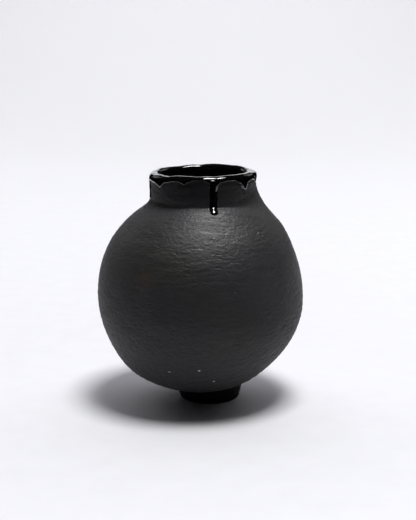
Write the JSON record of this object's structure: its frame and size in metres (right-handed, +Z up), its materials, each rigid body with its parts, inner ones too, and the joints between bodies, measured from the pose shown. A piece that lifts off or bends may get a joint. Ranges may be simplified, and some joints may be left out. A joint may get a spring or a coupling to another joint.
{
  "type": "clay pot",
  "caption": "Globular hand-built black clay pot with a short offset neck, small foot and a gloss black glaze over the lip that runs down the neck.",
  "frame": {"origin": "on the table, under the centre of the ball-shaped body", "axes": "+Z up through the body; -Y is the front, where the long glaze run is; the neck and foot are set towards +X"},
  "size_m": [0.18, 0.18, 0.2043],
  "materials": {
    "black_clay": "matt charcoal clay, scraped and lightly burnished",
    "black_glaze": "gloss black glaze"
  },
  "bodies": {
    "root": {"foot_ring": "black_clay", "base_bowl": "black_clay", "lower_belly_wall": "black_clay", "upper_belly_wall": "black_clay", "shoulder_wall": "black_clay", "neck_collar": "black_clay", "lip_coil": "black_clay", "liner_glaze": "black_glaze", "rim_glaze": "black_glaze", "front_glaze_run": "black_glaze", "left_glaze_run": "black_glaze", "right_glaze_run": "black_glaze"}
  },
  "joints": []
}
